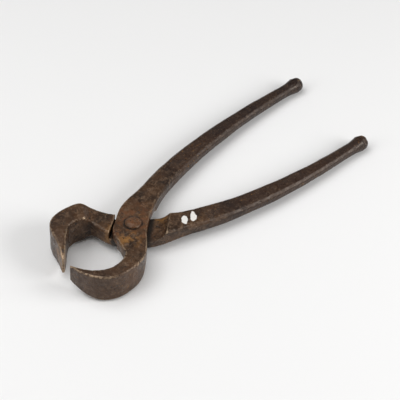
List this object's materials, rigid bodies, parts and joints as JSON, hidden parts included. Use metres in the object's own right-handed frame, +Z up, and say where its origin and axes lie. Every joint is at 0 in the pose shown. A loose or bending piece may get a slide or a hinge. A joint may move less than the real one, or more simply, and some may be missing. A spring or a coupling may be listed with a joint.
{
  "type": "hoof nipper",
  "caption": "Farrier's hoof nipper: crossed forged levers on one rivet, wide curved cutting jaws meeting edge to edge, long bowed reins ending in round knobs.",
  "frame": {"origin": "under the middle of the whole tool, on the surface its jaws lie on; the pivot axis stands at x = -0.0839 m", "axes": "+X from the jaws towards the knobs of the reins, +Y towards the top lever's rein, +Z up along the rivet"},
  "size_m": [0.3041, 0.1046, 0.027],
  "materials": {
    "top_lever_iron": "dark rusted forged iron",
    "bottom_lever_iron": "dark rusted forged iron",
    "rivet_iron": "rusted hammered iron"
  },
  "bodies": {
    "bottom_body": {"bottom_lever": "bottom_lever_iron", "pivot_rivet": "rivet_iron"},
    "top_body": {"top_lever": "top_lever_iron"}
  },
  "joints": [
    {"name": "lever_hinge", "type": "hinge", "parent": "bottom_body", "child": "top_body", "pos_m": [-0.0839, 0, 0.0135], "axis": [0, 0, 1], "range_deg": [-6.4, 8]}
  ]
}
